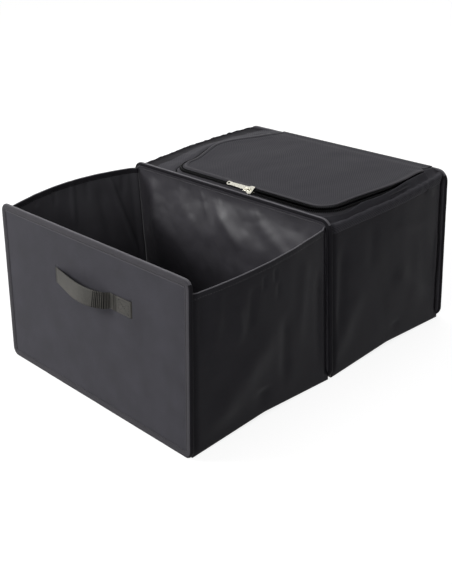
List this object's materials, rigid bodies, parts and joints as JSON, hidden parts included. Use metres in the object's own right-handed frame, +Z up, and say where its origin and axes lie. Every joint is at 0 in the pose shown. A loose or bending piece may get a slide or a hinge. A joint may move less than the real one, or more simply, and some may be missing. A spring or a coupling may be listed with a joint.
{
  "type": "car trunk organizer",
  "caption": "Collapsible cloth trunk organizer with an open front compartment, a rear compartment under a zipped lid, stiffened walls, bound edges and webbing grab handles.",
  "frame": {"origin": "middle of the foot of the whole box, on the surface that it stands on", "axes": "+X across the organizer, along its handled end panels; +Y from the open front compartment to the lidded rear one; +Z up"},
  "size_m": [0.5084, 0.6248, 0.2894],
  "materials": {
    "outer_cloth": "matte",
    "gusset_cloth": "matte",
    "lining": "satin",
    "binding": "matte",
    "webbing": "matte",
    "board": "matte",
    "zip_tape": "matte",
    "zip_teeth": "satin",
    "zip_metal": "gloss"
  },
  "bodies": {
    "root": {"front_panel_board": "board", "front_panel_cloth": "outer_cloth", "front_panel_lining": "lining", "front_panel_binding": "binding", "front_handle": "webbing", "divider_board": "board", "divider_rear_cloth": "lining", "divider_front_cloth": "lining", "divider_binding": "binding", "rear_panel_board": "board", "rear_panel_cloth": "outer_cloth", "rear_panel_lining": "lining", "rear_panel_binding": "binding", "rear_handle": "webbing", "front_left_gusset": "gusset_cloth", "front_right_gusset": "gusset_cloth", "front_left_hem": "binding", "front_right_hem": "binding", "rear_left_gusset": "gusset_cloth", "rear_right_gusset": "gusset_cloth", "front_floor_cloth": "outer_cloth", "front_floor_front_board": "board", "front_floor_rear_board": "board", "front_floor_lining": "lining", "rear_floor_cloth": "outer_cloth", "rear_floor_front_board": "board", "rear_floor_rear_board": "board", "rear_floor_lining": "lining", "left_border": "outer_cloth", "right_border": "outer_cloth", "left_zip_end": "outer_cloth", "right_zip_end": "outer_cloth", "box_zip_tape": "zip_tape", "box_zip_teeth": "zip_teeth"},
    "lid": {"lid_cloth": "outer_cloth", "lid_lining": "lining", "lid_zip_tape": "zip_tape", "lid_zip_teeth": "zip_teeth"},
    "slider": {"zip_slider": "zip_metal"},
    "pull": {"zip_pull": "zip_metal"}
  },
  "joints": [
    {"name": "lid_hinge", "type": "hinge", "parent": "root", "child": "lid", "pos_m": [0.0035, 0.29032, 0.282], "axis": [-1, 0, 0], "range_deg": [0, 180]},
    {"name": "slider_slide", "type": "slide", "parent": "root", "child": "slider", "axis": [1, 0, 0], "range_m": [-0.148, 0.115], "deforming": ["box_zip_teeth", "lid_zip_teeth"]},
    {"name": "pull_swing", "type": "hinge", "parent": "slider", "child": "pull", "pos_m": [0.0535, 0.00515, 0.28619], "axis": [0, 0.8192, 0.5736], "range_deg": [0, 180]}
  ]
}
